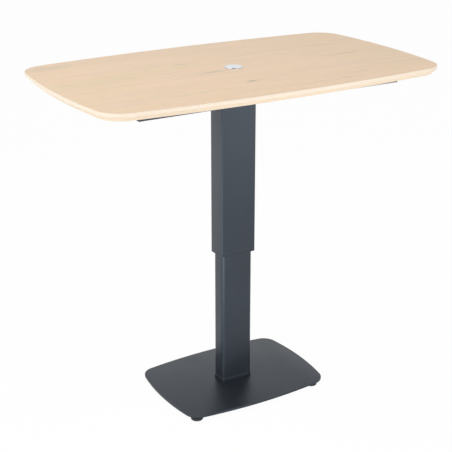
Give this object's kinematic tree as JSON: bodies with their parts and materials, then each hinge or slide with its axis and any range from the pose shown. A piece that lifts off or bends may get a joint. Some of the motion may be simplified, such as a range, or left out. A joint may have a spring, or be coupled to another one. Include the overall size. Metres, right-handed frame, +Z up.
{
  "type": "standing meeting table",
  "caption": "Standing meeting table: a barrel-shaped wooden top with a cable grommet, on a telescopic electric lifting column and a flat steel base plate with levelling feet.",
  "frame": {"origin": "on the floor under the middle of the column, with the table raised", "axes": "+X along the long side of the top, +Y towards the rear long side, +Z up"},
  "size_m": [1.2, 0.7, 1.1052],
  "materials": {
    "oak": "matt lacquer",
    "black_steel": "fine satin powder coat",
    "black_plastic": "fine grain",
    "grey_plastic": "smooth",
    "silver": "satin",
    "zinc": "zinc plated",
    "cast_alloy": "as cast",
    "bronze": "machined"
  },
  "bodies": {
    "base": {"base_plate": "black_steel", "column_flange": "black_steel", "lower_tube": "black_steel", "crown_guide": "black_plastic", "nut_tube": "zinc", "screw_nut": "bronze", "base_bolt_1": "zinc", "base_bolt_2": "zinc", "base_bolt_3": "zinc", "base_bolt_4": "zinc", "foot_nut_1": "black_steel", "foot_nut_2": "black_steel", "foot_nut_3": "black_steel", "foot_nut_4": "black_steel"},
    "top": {"table_top": "oak", "grommet_ring": "silver", "rail_front": "black_steel", "rail_rear": "black_steel", "rail_cap_front_left": "black_plastic", "rail_cap_front_right": "black_plastic", "rail_cap_rear_left": "black_plastic", "rail_cap_rear_right": "black_plastic", "crossbar_left": "black_steel", "crossbar_right": "black_steel", "head_plate": "black_steel", "head_bolt_1": "zinc", "head_bolt_2": "zinc", "head_bolt_3": "zinc", "head_bolt_4": "zinc", "top_screw_1": "zinc", "top_screw_2": "zinc", "top_screw_3": "zinc", "top_screw_4": "zinc", "top_screw_5": "zinc", "top_screw_6": "zinc", "top_screw_7": "zinc", "top_screw_8": "zinc", "upper_tube": "black_steel", "mouth_guide": "black_plastic", "gearbox": "cast_alloy", "motor": "zinc", "screw_bearing": "zinc", "control_plate": "black_steel", "control_case": "black_plastic", "mains_inlet": "black_plastic", "handset": "black_plastic"},
    "lift_screw": {"lift_screw": "zinc"},
    "grommet_cap": {"grommet_cap": "silver"},
    "button_up": {"button_up": "grey_plastic"},
    "button_down": {"button_down": "grey_plastic"},
    "foot_pad_1": {"foot_pad_1": "black_plastic"},
    "foot_stud_1": {"foot_stud_1": "zinc"},
    "foot_pad_2": {"foot_pad_2": "black_plastic"},
    "foot_stud_2": {"foot_stud_2": "zinc"},
    "foot_pad_3": {"foot_pad_3": "black_plastic"},
    "foot_stud_3": {"foot_stud_3": "zinc"},
    "foot_pad_4": {"foot_pad_4": "black_plastic"},
    "foot_stud_4": {"foot_stud_4": "zinc"}
  },
  "joints": [
    {"name": "lift", "type": "slide", "parent": "base", "child": "top", "axis": [0, 0, 1], "range_m": [-0.4, 0]},
    {"name": "screw_turn", "type": "hinge", "parent": "top", "child": "lift_screw", "pos_m": [-0.028, 0, 0.8], "axis": [0, 0, 1], "continuous": true},
    {"name": "grommet_turn", "type": "hinge", "parent": "top", "child": "grommet_cap", "pos_m": [0, 0, 1.1], "axis": [0, 0, 1], "continuous": true},
    {"name": "button_up_press", "type": "slide", "parent": "top", "child": "button_up", "axis": [0, -1, 0], "range_m": [0, 0.0015], "stiffness_N_per_m": 1500, "springref_m": -0.001},
    {"name": "button_down_press", "type": "slide", "parent": "top", "child": "button_down", "axis": [0, -1, 0], "range_m": [0, 0.0015], "stiffness_N_per_m": 1500, "springref_m": -0.001},
    {"name": "foot_1_height", "type": "slide", "parent": "base", "child": "foot_pad_1", "axis": [0, 0, -1], "range_m": [0, 0.008]},
    {"name": "foot_1_turn", "type": "hinge", "parent": "foot_pad_1", "child": "foot_stud_1", "pos_m": [-0.224, -0.148, 0.015], "axis": [0, 0, -1], "continuous": true},
    {"name": "foot_2_height", "type": "slide", "parent": "base", "child": "foot_pad_2", "axis": [0, 0, -1], "range_m": [0, 0.008]},
    {"name": "foot_2_turn", "type": "hinge", "parent": "foot_pad_2", "child": "foot_stud_2", "pos_m": [0.224, -0.148, 0.015], "axis": [0, 0, -1], "continuous": true},
    {"name": "foot_3_height", "type": "slide", "parent": "base", "child": "foot_pad_3", "axis": [0, 0, -1], "range_m": [0, 0.008]},
    {"name": "foot_3_turn", "type": "hinge", "parent": "foot_pad_3", "child": "foot_stud_3", "pos_m": [-0.224, 0.148, 0.015], "axis": [0, 0, -1], "continuous": true},
    {"name": "foot_4_height", "type": "slide", "parent": "base", "child": "foot_pad_4", "axis": [0, 0, -1], "range_m": [0, 0.008]},
    {"name": "foot_4_turn", "type": "hinge", "parent": "foot_pad_4", "child": "foot_stud_4", "pos_m": [0.224, 0.148, 0.015], "axis": [0, 0, -1], "continuous": true}
  ],
  "couplings": [
    {"joint": "screw_turn", "follows": "lift", "rad_per_m": 785.4},
    {"joint": "foot_1_turn", "follows": "foot_1_height", "rad_per_m": 4188.8},
    {"joint": "foot_2_turn", "follows": "foot_2_height", "rad_per_m": 4188.8},
    {"joint": "foot_3_turn", "follows": "foot_3_height", "rad_per_m": 4188.8},
    {"joint": "foot_4_turn", "follows": "foot_4_height", "rad_per_m": 4188.8}
  ]
}
